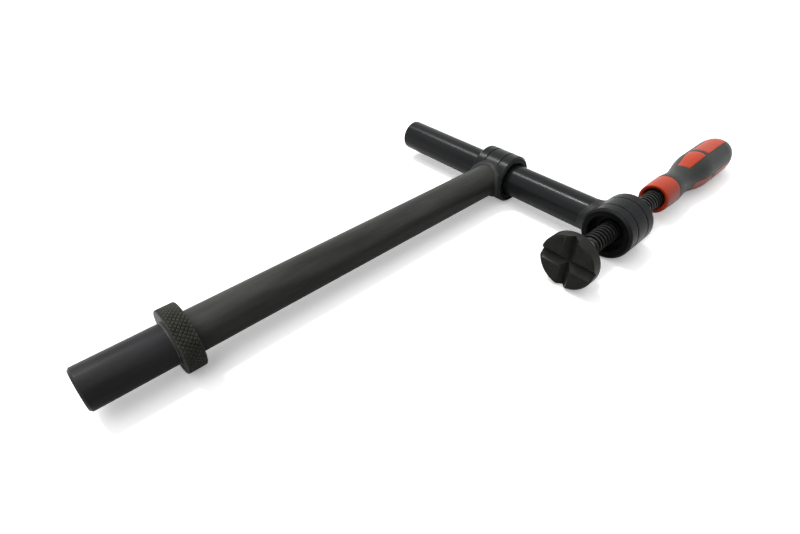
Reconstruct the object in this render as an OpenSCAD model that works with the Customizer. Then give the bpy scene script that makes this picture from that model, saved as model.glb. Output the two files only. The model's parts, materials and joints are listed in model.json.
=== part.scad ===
// Screw clamp for a perforated welding table, lying flat as it is put down on a bench.
// A round post carries a ring, a round arm slides and turns in that ring, and the arm's head holds a screw.
// Drawn about the point where the axes of post and arm cross: +X runs up the post from its foot,
// +Y along the arm to its free end, +Z up from the bench. lay_flat() then moves the origin to the bench.

/* [Post] */
// Diameter of the post bar
post_d = 28; // [24:0.5:32]
// Diameter of the turned foot that goes into the table's hole
spigot_d = 27.6; // [23:0.1:31.5]
// Length from the foot's end to the arm's axis
post_len = 361; // [240:1:500]
// Chamfer on the free ends of post and arm
bar_chamfer = 1.4; // [0.5:0.1:3]
// Radius of the weld between post and ring
post_weld_r = 3; // [2:0.1:5]

/* [Stop collar] */
// Height of the collar's seat above the foot's end
collar_at = 51; // [30:1:120]
// Outer diameter of the collar
collar_d = 43; // [42:0.5:54]
// Width of the collar
collar_w = 12; // [9:0.5:24]
// Chamfer on the collar's edges
collar_chamfer = 1.3; // [0.5:0.1:2.5]
// Radial gap between collar and post
collar_gap = 0.3; // [0.15:0.05:0.6]
// Cord thickness of the friction ring in the collar
collar_cord = 2.6; // [1.6:0.1:4]

/* [Slide ring] */
// Outer diameter of the ring on the post
ring_d = 42.4; // [40:0.1:43]
// Length of the ring along the arm
ring_len = 34.5; // [30:0.5:50]
// Distance of each turned groove from the ring's middle
ring_groove_at = 7.2; // [5:0.1:12]
// Radial gap between ring and arm, which lets the arm tip and lock
ring_gap = 0.6; // [0.3:0.05:1]
// Cord thickness of the friction ring in the slide ring
ring_cord = 3; // [1.6:0.1:4]

/* [Arm] */
// Diameter of the arm bar
arm_d = 28; // [24:0.5:30]
// Distance from the post's axis to the screw's axis
arm_reach = 117; // [95:0.5:200]
// Length of the arm past the post's axis
arm_tail = 114; // [60:1:200]
// Length of the ground flare where the arm is welded to the head
flare_len = 8; // [4:0.5:16]
// Height of that flare above the arm
flare_h = 1.5; // [0.5:0.1:3]

/* [Head] */
// Outer diameter of the head sleeve
head_d = 42; // [40:0.1:42.2]
// Length of the head sleeve
head_len = 38; // [36:0.5:44]
// Distance from the arm's axis to the head's middle, toward the handle
head_shift = 1.4; // [0:0.1:3]
// Distance of each turned groove from the head's middle
head_groove_at = 7.7; // [4:0.1:12]
// Chamfer on the outer edges of head and ring
sleeve_chamfer = 1.8; // [0.5:0.1:2.5]
// Width of the turned grooves in head and ring
groove_w = 1.2; // [0.6:0.1:2]
// Depth of the turned grooves in head and ring
groove_depth = 0.9; // [0.3:0.1:1.5]
// Diameter of the recess in the head's front
recess_d = 30; // [27:0.5:34]
// Depth of that recess down to the screw nut
recess_depth = 8; // [3:0.5:12]
// Thickness of the nut's flange
nut_flange = 6; // [3:0.5:10]
// Diameter of the nut behind its flange
nut_d = 25; // [21:0.5:26.5]

/* [Screw] */
// Major diameter of the screw thread
thread_d = 16; // [14:0.5:18]
// Radial gap between thread and nut
thread_gap = 0.25; // [0.15:0.05:0.5]
// Diameter of the plain journal in front of the thread
journal_d = 12.4; // [10.5:0.1:13.6]
// Length of that journal
journal_len = 7; // [3:0.5:12]
// Diameter of the neck behind the ball
neck_d = 9; // [7:0.1:10]
// Diameter of the ball on the screw's end
ball_d = 14; // [12:0.1:14.5]
// Length of the shank in the handle
shank_len = 70; // [40:1:100]
// Diameter of that shank
shank_d = 15; // [10:0.5:15.5]

/* [Pressure pad] */
// Distance from the arm's axis to the pad's clamping face
pad_at = 73; // [68:0.5:110]
// Diameter of the pad
pad_d = 43; // [36:0.5:44]
// Thickness of the pad's disc
pad_t = 11; // [9:0.5:13]
// Chamfer on the pad's rim
pad_chamfer = 1.3; // [0.5:0.1:2.5]
// Width of the two crossed V grooves in the face
vee_w = 10; // [6:0.5:13]
// Included angle of the V grooves
vee_angle = 90; // [80:5:120]
// Diameter of the socket for the ball and its seat
socket_d = 18; // [17:0.1:19]
// Distance from the clamping face to the ball's centre
ball_at = 17; // [16:0.5:20]
// Height of the socket's mouth above the ball's centre
mouth_h = 5.5; // [5:0.1:6.5]
// Diameter of the boss where it leaves the disc
boss_foot_d = 26; // [24:0.5:32]
// Diameter of the boss at its mouth
boss_d = 20; // [18:0.5:24]

/* [Handle] */
// Distance from the arm's axis to the handle's front
handle_at = 64; // [62:1:100]
// Length of the handle
handle_len = 155; // [152:1:180]
// Diameter of the handle's front edge
front_d = 24; // [23:0.5:26]
// Largest diameter of the ferrule
ferrule_d = 26.8; // [26:0.1:30]
// Length of the ferrule
ferrule_len = 24; // [16:0.5:28]
// Diameter of the waist
waist_d = 24; // [23:0.5:27]
// Distance from the front to the waist
waist_at = 45; // [36:0.5:48]
// Largest diameter of the grip
belly_d = 34.4; // [30:0.2:38]
// Distance from the front to where the grip is widest
belly_at = 86; // [70:1:95]
// Length of the domed end
dome_len = 28; // [20:1:36]
// Diameter of the hard core under the soft grip
core_d = 20; // [18.8:0.1:21]
// Length of the soft cap behind the core
cap_len = 9; // [7:0.5:10]
// Angle that one hard panel covers
panel_angle = 56; // [30:1:80]
// Distance from the front to the first row of panels
panel_at = 56; // [50:0.5:60]
// Length of a panel in the first row
front_panel_len = 31.5; // [25:0.5:36]
// Length of a panel in the second row
rear_panel_len = 47; // [30:0.5:50]
// Soft bar between the two rows
panel_gap = 5; // [2:0.5:6]
// Depth of the dish in the ferrule's front
dish_depth = 2; // [1:0.5:6]
// Diameter of the clearance hole for the thread
hole_d = 18.4; // [18.2:0.1:18.6]
// Depth of that hole behind the dish
hole_depth = 8; // [4:0.5:16]

/* [Hidden] */

$fn = 96;
// Overshoot of a cutting tool past the face that it cuts
over = 1;
// Running gap of the friction rings and of the ball in its seat
running_gap = 0.05;
// Room beside a friction ring in its groove
cord_room = 0.4;
// Gap between the two halves of the ball's seat
seat_split = 0.3;
// Room between the pad's mouth and the journal behind it
mouth_room = 1;
// Step from the spigot's end to the collar's seat
spigot_room = 1;
// Hard panels are spaced evenly about the handle
panel_count = 3;
// Turn that puts one panel on top, a little to the arm's side
panel_turn = 172;

black_steel = [0.17, 0.17, 0.18];
bright_steel = [0.48, 0.48, 0.46];
knurled_steel = [0.27, 0.27, 0.24];
weld_steel = [0.24, 0.24, 0.25];
bronze = [0.55, 0.42, 0.22];
black_rubber = [0.06, 0.06, 0.06];
soft_black = [0.17, 0.19, 0.19];
hard_red = [0.80, 0.27, 0.16];

post_r = post_d / 2;
arm_r = arm_d / 2;
ring_r = ring_d / 2;
head_r = head_d / 2;
ball_r = ball_d / 2;
socket_r = socket_d / 2;
belly_r = belly_d / 2;
core_r = core_d / 2;
dome_at = handle_len - dome_len;

// The collar carries the post above the bench
rest_r = max(collar_d, ring_d) / 2;
// The handle's widest stretch lies on the bench too, which tips the screw by this angle
lean = asin((rest_r - belly_r) / (handle_at + dome_at));
handle_end = (handle_at + handle_len) * cos(lean);
mid_x = (handle_end - post_len) / 2;
mid_y = (arm_tail - arm_reach - head_r) / 2;

// Stations along the screw's axis, from the arm's axis
ball_z = ball_at - pad_at;
journal_z = ball_z + mouth_h + mouth_room;
thread_z = journal_z + journal_len;
head_front = head_shift - head_len / 2;
head_rear = head_shift + head_len / 2;
nut_face = head_front + recess_depth;
nut_seat = nut_face + nut_flange;
thread_end = handle_at + dish_depth + hole_depth;

module lay_flat() translate([-mid_x, -mid_y, rest_r]) children();

// Local +Z along the post, the arm or the screw
module along_post() lay_flat() rotate([0, 90, 0]) children();
module along_arm() lay_flat() rotate([-90, 0, 0]) children();
module along_screw() lay_flat() translate([0, -arm_reach, 0]) rotate([0, 90 + lean, 0]) children();

// Local +Z along the handle from its front, and along the pad from the ball's centre
module along_handle() along_screw() translate([0, 0, handle_at]) children();
module along_pad() along_screw() translate([0, 0, ball_z]) children();

module turned(points) rotate_extrude() polygon(points);

// A round bar from z0 to z1 with a chamfer at the end named by the sign of end
module chamfered_bar(d, z0, z1, end) {
  tip = end < 0 ? z0 : z1;
  translate([0, 0, end < 0 ? z0 + bar_chamfer : z0]) cylinder(d = d, h = z1 - z0 - bar_chamfer);
  translate([0, 0, tip]) mirror([0, 0, end < 0 ? 0 : 1])
    cylinder(d1 = d - 2 * bar_chamfer, d2 = d, h = bar_chamfer);
}

// The plain outside of ring or head, for trimming what is welded to it
module ring_space() along_arm() cylinder(r = ring_r, h = 3 * ring_len, center = true);
module head_space() along_screw() cylinder(r = head_r, h = 3 * head_len, center = true);

// A sleeve with chamfered edges and two turned grooves, before it is bored
module sleeve(r, len, groove_at) difference() {
  half = len / 2;
  turned([
    [0, -half], [r - sleeve_chamfer, -half], [r, sleeve_chamfer - half],
    [r, half - sleeve_chamfer], [r - sleeve_chamfer, half], [0, half]
  ]);
  for (side = [-1, 1])
    turned([
      [r - groove_depth, side * groove_at - groove_w / 2], [r + over, side * groove_at - groove_w / 2],
      [r + over, side * groove_at + groove_w / 2], [r - groove_depth, side * groove_at + groove_w / 2]
    ]);
}

// Through bore with a groove for a friction ring in its middle
module cord_bore(r, shaft_r, cord, len) {
  cylinder(r = r, h = len + 2 * over, center = true);
  cylinder(r = shaft_r + cord + 2 * running_gap, h = cord + cord_room, center = true);
}

module friction_ring(shaft_r, cord)
  rotate_extrude() translate([shaft_r + running_gap + cord / 2, 0]) circle(d = cord, $fn = 32);

// Post

spigot_end = collar_at - spigot_room - post_len;

module post_bar() color(black_steel) difference() {
  along_post() {
    chamfered_bar(spigot_d, -post_len, spigot_end, -1);
    translate([0, 0, spigot_end]) cylinder(d = post_d, h = -spigot_end);
  }
  ring_space();
}

// Sections of the weld follow the curve where the post's side meets the ring's side
bead_rings = 60;
bead_arc = 6;
bead_foot = 4;
bead_ripples = 14;
bead_ripple_h = 0.12;
// Gap that keeps the weld's flat facets out of post and ring
bead_gap = 0.04;

// The point of the ring's side at a radius and an angle about the post
function on_ring(r, a) = [-sqrt((ring_r + bead_gap) ^ 2 - (r * sin(a)) ^ 2), r * cos(a), r * sin(a)];

// One section: along the bulge from post to ring, then back along the ring
function bead_section(a) =
  let (
    root_r = post_r + bead_gap,
    leg = post_weld_r * (1 + bead_ripple_h * sin(bead_ripples * a)),
    root = on_ring(root_r, a),
    toe = on_ring(root_r + leg, a)
  )
  concat(
    [root],
    [for (j = [0 : bead_arc]) let (b = 90 * j / bead_arc) root + cos(b) * [-leg, 0, 0] + sin(b) * (toe - root)],
    [for (k = [bead_foot - 1 : -1 : 1]) on_ring(root_r + leg * k / bead_foot, a)]
  );

module post_weld() color(weld_steel) lay_flat() {
  sides = bead_arc + bead_foot + 1;
  points = [for (i = [0 : bead_rings - 1]) each bead_section(360 * i / bead_rings)];
  faces = [
    for (i = [0 : bead_rings - 1], j = [0 : sides - 1])
      let (
        i2 = (i + 1) % bead_rings,
        j2 = (j + 1) % sides,
        a = i * sides + j,
        b = i * sides + j2,
        c = i2 * sides + j2,
        d = i2 * sides + j
      ) each [[a, b, c], [a, c, d]]
  ];
  polyhedron(points, faces);
}

module slide_ring() color(black_steel) along_arm() difference() {
  bore_r = arm_r + ring_gap;
  sleeve(ring_r, ring_len, ring_groove_at);
  cord_bore(bore_r, arm_r, ring_cord, ring_len);
  for (side = [0, 1])
    mirror([0, 0, side]) translate([0, 0, ring_len / 2 - bar_chamfer])
      cylinder(r1 = bore_r, r2 = bore_r + bar_chamfer + over, h = bar_chamfer + over);
}

// Stop collar

collar_mid = collar_at + collar_w / 2 - post_len;

module collar_o_ring() color(black_rubber) along_post() translate([0, 0, collar_mid])
  friction_ring(post_r, collar_cord);

module stop_collar() color(knurled_steel) along_post() translate([0, 0, collar_mid]) difference() {
  half = collar_w / 2;
  r = collar_d / 2;
  turned([
    [0, -half], [r - collar_chamfer, -half], [r, collar_chamfer - half],
    [r, half - collar_chamfer], [r - collar_chamfer, half], [0, half]
  ]);
  cord_bore(post_r + collar_gap, post_r, collar_cord, collar_w);
}

// Arm and head

module arm_o_ring() color(black_rubber) along_arm() friction_ring(arm_r, ring_cord);

module arm_bar() color(black_steel) difference() {
  along_arm() chamfered_bar(arm_d, -arm_reach, arm_tail, 1);
  head_space();
}

// The flare ends this far from the post's axis, and its other end lies inside the head
flare_at = head_r + flare_len - arm_reach;
flare_steps = 8;

module head_weld() color(weld_steel) difference() {
  along_arm() turned(concat(
    [[arm_r, -arm_reach], [arm_r + flare_h, -arm_reach]],
    [for (i = [0 : flare_steps]) let (a = 90 * i / flare_steps)
      [arm_r + flare_h * (1 - sin(a)), flare_at - (flare_len + over) * cos(a)]]
  ));
  head_space();
}

module spindle_head() color(black_steel) along_screw() difference() {
  translate([0, 0, head_shift]) sleeve(head_r, head_len, head_groove_at);
  translate([0, 0, head_front - over]) cylinder(d = recess_d, h = nut_seat - head_front + over);
  cylinder(d = nut_d, h = 3 * head_len, center = true);
}

module spindle_nut() color(bright_steel) along_screw() difference() {
  union() {
    translate([0, 0, nut_face]) cylinder(d = recess_d, h = nut_flange);
    translate([0, 0, nut_seat]) cylinder(d = nut_d, h = head_rear - nut_seat);
  }
  cylinder(r = thread_d / 2 + thread_gap, h = 3 * head_len, center = true);
}

// Screw and its swivelling pad

module spindle() color(bright_steel) along_screw() {
  lead_in = (thread_d - journal_d) / 2;
  translate([0, 0, ball_z]) sphere(r = ball_r);
  translate([0, 0, ball_z]) cylinder(d = neck_d, h = journal_z - ball_z);
  translate([0, 0, journal_z]) cylinder(d = journal_d, h = journal_len);
  translate([0, 0, thread_z]) cylinder(d1 = journal_d, d2 = thread_d, h = lead_in);
  translate([0, 0, thread_z + lead_in]) cylinder(d = thread_d, h = thread_end - thread_z - lead_in);
  translate([0, 0, thread_end]) cylinder(d = shank_d, h = shank_len);
}

// Half of the spherical seat: from z0 to z1 above the ball's centre
module seat_half(z0, z1) along_pad() difference() {
  intersection() {
    sphere(r = socket_r - running_gap);
    translate([0, 0, z0]) cylinder(d = 2 * socket_d, h = z1 - z0);
  }
  sphere(r = ball_r + running_gap);
  cylinder(d = neck_d + 2 * seat_split, h = socket_d);
}

module ball_cup() color(bronze) seat_half(-socket_d, -seat_split / 2);
module retaining_ring() color(bright_steel) seat_half(seat_split / 2, mouth_h - mouth_room);

module pad_vee() rotate([90, 0, 0]) linear_extrude(height = 2 * pad_d, center = true) {
  slope = tan(vee_angle / 2);
  depth = vee_w / 2 / slope;
  polygon([
    [-vee_w / 2 - slope * over, -ball_at - over],
    [vee_w / 2 + slope * over, -ball_at - over],
    [0, depth - ball_at]
  ]);
}

module pressure_pad() color(black_steel) along_pad() difference() {
  r = pad_d / 2;
  rear = pad_t - ball_at;
  turned([
    [0, -ball_at], [r - pad_chamfer, -ball_at], [r, pad_chamfer - ball_at],
    [r, rear - pad_chamfer], [r - pad_chamfer, rear], [boss_foot_d / 2, rear],
    [boss_d / 2, mouth_h], [0, mouth_h]
  ]);
  sphere(r = socket_r);
  for (turn = [0, 90]) rotate([0, 0, turn]) pad_vee();
}

// Handle

function ease(u) = (1 - cos(180 * u)) / 2;
function mix(a, b, u) = a + (b - a) * u;

// Radius of the handle at a distance z from its front
function grip_r(z) =
  z < ferrule_len ? mix(front_d / 2, ferrule_d / 2, sin(90 * z / ferrule_len) ^ 0.25) :
  z < waist_at ? mix(ferrule_d / 2, waist_d / 2, ease((z - ferrule_len) / (waist_at - ferrule_len))) :
  z < belly_at ? mix(waist_d / 2, belly_r, ease((z - waist_at) / (belly_at - waist_at))) :
  z < dome_at ? belly_r :
  belly_r * sqrt(max(0, 1 - ((z - dome_at) / dome_len) ^ 2));

// Outline of the handle between two stations, about one point every grip_step
grip_step = 3;
function grip_outline(z0, z1) =
  let (n = ceil((z1 - z0) / grip_step))
  [for (i = [0 : n]) let (z = mix(z0, z1, i / n)) [grip_r(z), z]];

rear_panel_at = panel_at + front_panel_len + panel_gap;

module panel(z0, len) rotate_extrude(angle = panel_angle)
  polygon(concat([[core_r - over, z0 + len], [core_r - over, z0]], grip_outline(z0, z0 + len)));

// Cutting wedge for one panel's window in the soft grip
module window(z0, len) rotate_extrude(angle = panel_angle)
  polygon([[core_r - over, z0], [belly_d, z0], [belly_d, z0 + len], [core_r - over, z0 + len]]);

module about_handle()
  for (i = [0 : panel_count - 1])
    rotate([0, 0, panel_turn - panel_angle / 2 + 360 * i / panel_count]) children();

module handle_core() color(hard_red) along_handle() difference() {
  union() {
    rotate_extrude() polygon(concat([[0, ferrule_len], [0, 0]], grip_outline(0, ferrule_len)));
    cylinder(d = core_d, h = handle_len - cap_len);
    about_handle() {
      panel(panel_at, front_panel_len);
      panel(rear_panel_at, rear_panel_len);
    }
  }
  translate([0, 0, -over])
    cylinder(d1 = front_d - bar_chamfer + over, d2 = hole_d, h = dish_depth + over);
  cylinder(d = hole_d, h = dish_depth + hole_depth);
  translate([0, 0, dish_depth + hole_depth]) cylinder(d = shank_d, h = shank_len);
}

module handle_grip() color(soft_black) along_handle() difference() {
  rotate_extrude() polygon(concat([[0, handle_len], [0, ferrule_len]], grip_outline(ferrule_len, handle_len)));
  cylinder(d = core_d, h = handle_len - cap_len);
  about_handle() {
    window(panel_at, front_panel_len);
    window(rear_panel_at, rear_panel_len);
  }
}

post_bar();
post_weld();
slide_ring();
collar_o_ring();
stop_collar();
arm_o_ring();
arm_bar();
head_weld();
spindle_head();
spindle_nut();
ball_cup();
spindle();
retaining_ring();
pressure_pad();
handle_core();
handle_grip();
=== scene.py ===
"""Screw clamp for a perforated welding table, dressed round its packed solids.

Lengths are in metres in the frame of the packed model. Each operator makes one piece, or a group
of like pieces, gives it its finish and lets it ride on its body.
"""

import json
import math

import bmesh
import bpy
from bpy.props import FloatProperty, FloatVectorProperty, IntProperty, PointerProperty
from bpy.types import Operator, Panel, PropertyGroup
from mathutils import Matrix, Vector, noise


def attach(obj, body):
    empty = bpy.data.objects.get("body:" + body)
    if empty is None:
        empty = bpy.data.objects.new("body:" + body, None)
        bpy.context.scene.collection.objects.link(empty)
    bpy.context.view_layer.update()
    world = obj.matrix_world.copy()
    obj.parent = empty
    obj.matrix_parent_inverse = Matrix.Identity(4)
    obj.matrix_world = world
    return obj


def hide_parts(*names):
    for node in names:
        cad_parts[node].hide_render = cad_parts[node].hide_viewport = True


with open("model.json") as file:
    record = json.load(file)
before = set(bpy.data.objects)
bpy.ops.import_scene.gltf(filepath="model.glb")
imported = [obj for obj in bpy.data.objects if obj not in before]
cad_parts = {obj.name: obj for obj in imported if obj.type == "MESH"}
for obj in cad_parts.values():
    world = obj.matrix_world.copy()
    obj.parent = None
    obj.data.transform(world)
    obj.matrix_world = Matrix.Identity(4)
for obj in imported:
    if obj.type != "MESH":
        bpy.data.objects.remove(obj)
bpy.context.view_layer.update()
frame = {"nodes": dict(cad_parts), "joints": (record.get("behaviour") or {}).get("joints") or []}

bl_info = {
    "name": "Welding table clamp",
    "version": (1, 0, 0),
    "blender": (4, 5, 0),
    "location": "View3D > Sidebar > Clamp",
    "description": "Builds the looks of a screw clamp round its packed solids",
    "category": "Add Mesh",
}

JOINTS = {joint["name"]: joint for joint in frame["joints"]}
CROSSING = Vector(JOINTS["arm_turn"]["pos_m"])
COLLAR_MIDDLE = Vector(JOINTS["collar_turn"]["pos_m"])
SCREW_START = Vector(JOINTS["screw_turn"]["pos_m"])
SCREW_AXIS = Vector(JOINTS["screw_turn"]["axis"])
BALL_CENTRE = Vector(JOINTS["pad_spin"]["pos_m"])

MERGE = 1e-6  # points closer than this become one
ROUND_STEPS = 128  # faces round a turned piece
FINE_STEPS = 240  # faces round a piece with fine relief
SLIM_STEPS = 64  # faces round the screw's plain lengths
THREAD_STEPS = 48  # faces round one turn of its thread

# The camera that the photograph's outlines gave, and the studio's light
CAMERA_TURNS = (0.754560711, 0.683944572, -0.00984671649)  # yaw, pitch, roll
CAMERA_FROM_CROSSING = Vector((-0.34684, -0.23682, 0.22105))
CAMERA_LENS, CAMERA_SENSOR = 22.246, 36.0
CAMERA_CLIP = (0.01, 50.0)
LAMPS = (  # name, direction towards the lamp, angle in degrees, power
    ("softbox", (-0.12, 0.37, 0.92), 7, 0.95),
    ("strip", (-0.108, 0.54, 0.835), 14, 0.6),
    ("ceiling", (-0.5, -0.1, 0.86), 54, 1.6),
)
GLOW_TOWARDS = Vector((0.35, 0.7, 0.62)).normalized()
GLOW_EDGES, GLOW_STRENGTHS = (0.4, 0.95), (0.04, 1.45)
FLOOR_HALF, FLOOR_LIFT, FLOOR_BOUNCE = 6.0, 0.34, 0.2


def place(origin, along, across):
    """Matrix with local Z along one axis and local Y across it."""
    z = Vector(along).normalized()
    x = Vector(across).cross(z).normalized()
    matrix = Matrix((x, z.cross(x), z)).transposed().to_4x4()
    matrix.translation = origin
    return matrix


POST_PLACE = place(CROSSING, (1, 0, 0), (0, 1, 0))
COLLAR_PLACE = place(COLLAR_MIDDLE, (1, 0, 0), (0, 1, 0))
ARM_PLACE = place(CROSSING, (0, 1, 0), (0, 0, -1))
SCREW_PLACE = place(SCREW_START, SCREW_AXIS, (0, 1, 0))
PAD_PLACE = place(BALL_CENTRE, SCREW_AXIS, (0, 1, 0))


# Settings that a user would change


def length(name, description, default):
    """Setting for a length in metres."""
    return FloatProperty(
        name=name, description=description, default=default, min=0.0, unit="LENGTH", precision=5
    )


def colour(name, description, default):
    """Setting for a colour."""
    return FloatVectorProperty(
        name=name, description=description, default=default, min=0.0, max=1.0, subtype="COLOR"
    )


class BarSizes(PropertyGroup):
    """Post and arm"""

    radius: length("Bar radius", "Radius of post and arm", 0.014)
    foot_radius: length("Foot radius", "Radius of the turned foot", 0.0138)
    foot_length: length("Foot length", "Length of the turned foot", 0.05)
    post_length: length("Post length", "From the foot's end to the arm's axis", 0.361)
    arm_reach: length("Arm reach", "From the post's axis to the screw's axis", 0.117)
    arm_tail: length("Arm tail", "Length of the arm past the post's axis", 0.114)
    buried: length("Buried end", "From a bar's welded end to the axis of its sleeve", 0.0155)
    chamfer: length("Chamfer", "Chamfer on the free ends", 0.0014)
    edge: length("Edge", "Rounding of the edges", 0.0004)


class SleeveSizes(PropertyGroup):
    """Slide ring and head"""

    ring_radius: length("Ring radius", "Outer radius of the slide ring", 0.0212)
    ring_length: length("Ring length", "Length of the slide ring", 0.0345)
    ring_bore: length("Ring bore", "Radius of the bore for the arm", 0.0146)
    ring_groove_at: length("Ring groove place", "From the ring's middle to a groove", 0.0072)
    cord_radius: length("Cord groove radius", "Radius of the groove for the rubber ring", 0.0171)
    cord_width: length("Cord groove width", "Width of the groove for the rubber ring", 0.0034)
    head_radius: length("Head radius", "Outer radius of the head", 0.021)
    head_length: length("Head length", "Length of the head", 0.038)
    head_shift: length("Head shift", "From the arm's axis to the head's middle", 0.0014)
    head_groove_at: length("Head groove place", "From the head's middle to a groove", 0.0077)
    recess_radius: length("Recess radius", "Radius of the recess in the head's front", 0.015)
    recess_depth: length("Recess depth", "Depth of the recess down to the nut", 0.008)
    nut_flange: length("Nut flange", "Thickness of the nut's flange", 0.006)
    nut_radius: length("Nut radius", "Radius of the nut behind its flange", 0.0125)
    nut_bore: length("Nut bore", "Radius of the nut's bore", 0.00825)
    chamfer: length("Chamfer", "Chamfer on the outer edges", 0.0018)
    groove_width: length("Groove width", "Width of the turned grooves", 0.0012)
    groove_depth: length("Groove depth", "Depth of the turned grooves", 0.0009)
    edge: length("Edge", "Rounding of the edges", 0.00035)


class CollarSizes(PropertyGroup):
    """Stop collar"""

    radius: length("Radius", "Radius over the knurl's points", 0.0215)
    width: length("Width", "Width of the collar", 0.012)
    bore: length("Bore", "Radius of the bore for the post", 0.0143)
    cord_radius: length("Cord groove radius", "Radius of the groove for the rubber ring", 0.0167)
    cord_width: length("Cord groove width", "Width of the groove for the rubber ring", 0.003)
    chamfer: length("Chamfer", "Chamfer on the edges", 0.0006)
    knurl_depth: length("Knurl depth", "Depth of the knurl's grooves", 0.0006)
    knurl_flat: FloatProperty(
        name="Knurl flat", description="Share of a diamond that stays flat on top",
        default=50, subtype="PERCENTAGE"
    )
    knurl_count: IntProperty(
        name="Knurl count", description="Diamonds round the collar", default=46, min=12
    )
    knurl_rows: IntProperty(
        name="Knurl rows", description="Half diamonds across the collar", default=7, min=2
    )


class WeldSizes(PropertyGroup):
    """Welds"""

    bead: length("Bead", "Leg of the bead between post and ring", 0.003)
    ripple: length("Ripple", "Height of the ripples on that bead", 0.0002)
    ripple_count: IntProperty(
        name="Ripples", description="Ripples round that bead", default=58, min=1
    )
    flare_height: length("Flare height", "Height of the ground flare on the arm", 0.0015)
    flare_length: length("Flare length", "Length of the ground flare on the arm", 0.008)


class ScrewSizes(PropertyGroup):
    """Screw"""

    major: length("Major radius", "Radius over the thread's crests", 0.008)
    minor: length("Minor radius", "Radius in the thread's roots", 0.00575)
    lead: length("Lead", "Travel in one turn", 0.004)
    crest: length("Crest", "Width of the thread's crests", 0.00146)
    flank: length("Flank", "Width of one flank along the axis", 0.0006)
    thread_from: FloatProperty(
        name="Thread start", description="From the arm's axis", default=-0.0425, unit="LENGTH"
    )
    thread_to: length("Thread end", "From the arm's axis", 0.074)
    journal: length("Journal radius", "Radius of the plain journal", 0.0062)
    journal_length: length("Journal length", "Length of the plain journal", 0.007)
    neck: length("Neck radius", "Radius of the neck behind the ball", 0.0045)
    ball: length("Ball radius", "Radius of the ball", 0.007)
    shank: length("Shank radius", "Radius of the shank in the handle", 0.0075)
    shank_length: length("Shank length", "Length of the shank in the handle", 0.07)
    edge: length("Edge", "Rounding of the journal's edges", 0.0003)


class PadSizes(PropertyGroup):
    """Pressure pad"""

    radius: length("Radius", "Radius of the pad", 0.0215)
    face_at: length("Face", "From the clamping face to the ball's centre", 0.017)
    thickness: length("Thickness", "Thickness of the disc", 0.011)
    chamfer: length("Chamfer", "Chamfer on the rim", 0.0013)
    vee: length("Groove half width", "Half the width, and the depth, of the V grooves", 0.005)
    boss_foot: length("Boss foot radius", "Radius of the boss where it leaves the disc", 0.013)
    boss: length("Boss radius", "Radius of the boss at its mouth", 0.01)
    mouth: length("Mouth", "Height of the mouth over the ball's centre", 0.0055)
    socket: length("Socket radius", "Radius of the socket", 0.009)
    edge: length("Edge", "Rounding of the edges", 0.0004)
    # The rubbed rims are partly real wear and partly a painted highlight along the groove edges.
    rub_and_highlight: length("Rubbed width", "Width of the rubbed rim on lands and grooves", 0.0008)
    land: FloatProperty(
        name="Smallest land", description="Area from which a face has that rim",
        default=1e-5, unit="AREA"
    )


class HandleSizes(PropertyGroup):
    """Handle"""

    start: length("Front", "From the arm's axis to the handle's front", 0.064)
    length: length("Length", "Length of the handle", 0.155)
    front: length("Front radius", "Radius of the front edge", 0.012)
    ferrule: length("Ferrule radius", "Largest radius of the ferrule", 0.0134)
    ferrule_length: length("Ferrule length", "Length of the ferrule", 0.024)
    waist: length("Waist radius", "Radius of the waist", 0.012)
    waist_at: length("Waist place", "From the front to the waist", 0.045)
    belly: length("Belly radius", "Largest radius of the grip", 0.0172)
    belly_at: length("Belly place", "From the front to where the grip is widest", 0.086)
    dome: length("Dome", "Length of the domed end", 0.028)
    core: length("Core radius", "Radius of the core under the soft grip", 0.01)
    cap: length("Cap", "Length of the soft cap behind the core", 0.009)
    hole: length("Hole radius", "Radius of the hole for the thread", 0.0092)
    hole_depth: length("Hole depth", "Depth of that hole", 0.01)
    dish: length("Dish depth", "Depth of the dish in the front", 0.002)
    lip: length("Lip", "Width of the front edge round the dish", 0.0016)
    edge: length("Edge", "Rounding of the front edge", 0.0008)
    panel_angle: FloatProperty(
        name="Panel angle", description="Angle that one panel covers",
        default=math.radians(56), subtype="ANGLE"
    )
    panel_turn: FloatProperty(
        name="Panel turn", description="Turn of the first panel about the handle",
        default=math.radians(172), subtype="ANGLE"
    )
    panel_count: IntProperty(name="Panels", description="Panels round the handle", default=3, min=1)
    panel_at: length("Panel place", "From the front to the first row of panels", 0.056)
    front_panel: length("Front panel", "Length of a panel in the first row", 0.0315)
    rear_panel: length("Rear panel", "Length of a panel in the second row", 0.047)
    panel_gap: length("Panel gap", "Soft bar between the two rows", 0.005)
    panel_corner: length("Panel corner", "Corner radius of a panel", 0.0022)
    panel_edge: length("Panel edge", "Radius of a panel's rounded rim", 0.0007)
    panel_proud: length("Panel height", "Height of a panel over the soft grip", 0.0001)
    panel_seat: length("Panel seat", "Depth of a panel's root in the core", 0.0005)
    window_depth: length("Window depth", "Depth of a panel's window in the soft grip", 0.0012)
    window_gap: length("Window gap", "Gap between a panel and its window", 0.0002)
    window_slope: length("Window slope", "Width of the slope round a window", 0.0004)
    skin_gap: length("Skin gap", "Gap between the soft grip and the core", 0.00005)


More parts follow.
